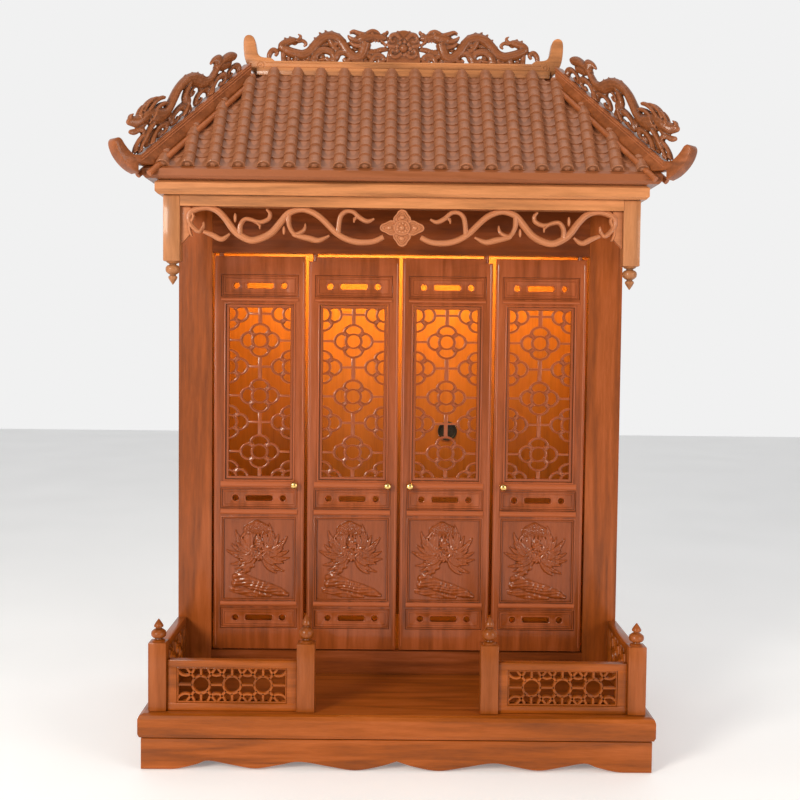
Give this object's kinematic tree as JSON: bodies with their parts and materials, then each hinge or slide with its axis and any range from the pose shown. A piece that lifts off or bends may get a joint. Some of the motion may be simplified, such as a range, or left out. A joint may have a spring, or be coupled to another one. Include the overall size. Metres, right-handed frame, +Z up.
{
  "type": "household altar cabinet",
  "caption": "Wooden altar cabinet with a tiled hipped roof, carved dragons and scroll frieze, pivoted lattice doors and a balustraded platform.",
  "frame": {"origin": "centre of the bounding box at the underside of the base", "axes": "+Z up, -Y to the front with the doors and the balustrade, +X to the right seen from the front"},
  "size_m": [0.8482, 0.48, 1.1143],
  "materials": {
    "base": "varnished orange brown, satin gloss",
    "cabinet": "varnished reddish brown, satin gloss",
    "inside": "plain varnished brown",
    "door": "varnished orange brown, satin gloss",
    "cornice": "lighter varnished brown",
    "carving": "carved, varnished brown",
    "tile": "pinkish brown varnish",
    "brass": "polished",
    "lamp": "warm white diffuser"
  },
  "bodies": {
    "root": {"base_board": "base", "apron_front": "base", "apron_left": "base", "apron_right": "base", "apron_back": "base", "corner_post_left": "base", "corner_post_right": "base", "gate_post_left": "base", "gate_post_right": "base", "front_panel_left": "base", "front_panel_right": "base", "side_panel_left": "base", "side_panel_right": "base", "side_board_left": "cabinet", "side_board_right": "cabinet", "back_board": "inside", "floor_board": "inside", "front_stile_left": "cabinet", "front_stile_right": "cabinet", "header": "door", "threshold": "door", "led_lamp": "lamp", "cornice_board": "cornice", "eave_beam_front": "cornice", "eave_beam_left": "cornice", "eave_beam_right": "cornice", "hanging_post_left": "cornice", "hanging_post_right": "cornice", "scroll_frieze": "carving", "eave_board": "cornice", "roof_front": "tile", "roof_left": "tile", "roof_right": "tile", "roof_deck": "inside", "roof_back": "inside", "ridge": "cornice", "ridge_carving": "carving", "hip_left": "cornice", "hip_right": "cornice", "hip_dragon_left": "carving", "hip_dragon_right": "carving"},
    "leaf_1": {"leaf_1_frame": "door", "leaf_1_lattice": "door", "leaf_1_relief": "door", "leaf_1_knob": "brass"},
    "leaf_2": {"leaf_2_frame": "door", "leaf_2_lattice": "door", "leaf_2_relief": "door", "leaf_2_knob": "brass"},
    "leaf_3": {"leaf_3_frame": "door", "leaf_3_lattice": "door", "leaf_3_relief": "door", "leaf_3_knob": "brass"},
    "leaf_4": {"leaf_4_frame": "door", "leaf_4_lattice": "door", "leaf_4_relief": "door", "leaf_4_knob": "brass"}
  },
  "joints": [
    {"name": "leaf_1_hinge", "type": "hinge", "parent": "root", "child": "leaf_1", "pos_m": [-0.28651, -0.0195, 0.436], "axis": [0, 0, -1], "range_deg": [0, 100]},
    {"name": "leaf_2_hinge", "type": "hinge", "parent": "root", "child": "leaf_2", "pos_m": [-0.13686, -0.0195, 0.436], "axis": [0, 0, -1], "range_deg": [0, 95]},
    {"name": "leaf_3_hinge", "type": "hinge", "parent": "root", "child": "leaf_3", "pos_m": [0.13686, -0.0195, 0.436], "axis": [0, 0, 1], "range_deg": [0, 95]},
    {"name": "leaf_4_hinge", "type": "hinge", "parent": "root", "child": "leaf_4", "pos_m": [0.28651, -0.0195, 0.436], "axis": [0, 0, 1], "range_deg": [0, 100]}
  ]
}
